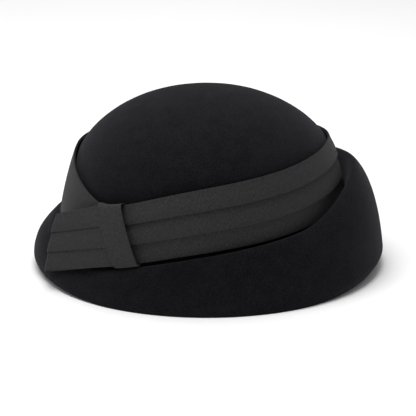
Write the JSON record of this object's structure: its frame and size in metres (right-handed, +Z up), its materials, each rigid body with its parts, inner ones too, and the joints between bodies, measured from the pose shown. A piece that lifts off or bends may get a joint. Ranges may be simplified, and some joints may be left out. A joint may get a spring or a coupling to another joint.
{
  "type": "felt hat",
  "caption": "Felt hat with a round dome crown, a brim rolled up at the front, and a pleated ribbon band with a knot and a flat folded loop.",
  "frame": {"origin": "centre of the bounding box in plan, on the plane the rim rests on", "axes": "+X towards the front of the hat, where the brim rolls up; +Y towards the wearer's left; +Z up through the crown"},
  "size_m": [0.2764, 0.2316, 0.1422],
  "materials": {
    "felt": "matte black wool felt with a short nap",
    "ribbon": "charcoal black grosgrain ribbon, fine crosswise ribs",
    "headband": "black petersham ribbon",
    "label": "plain woven tape, blank"
  },
  "bodies": {
    "root": {"crown": "felt", "brim": "felt", "band_foundation": "ribbon", "band_ply_upper": "ribbon", "band_ply_middle": "ribbon", "band_ply_lower": "ribbon", "band_back_panel": "ribbon", "knot": "ribbon", "wing_ply_upper": "ribbon", "wing_ply_middle": "ribbon", "wing_ply_lower": "ribbon", "inner_headband": "headband", "size_label": "label"}
  },
  "joints": []
}
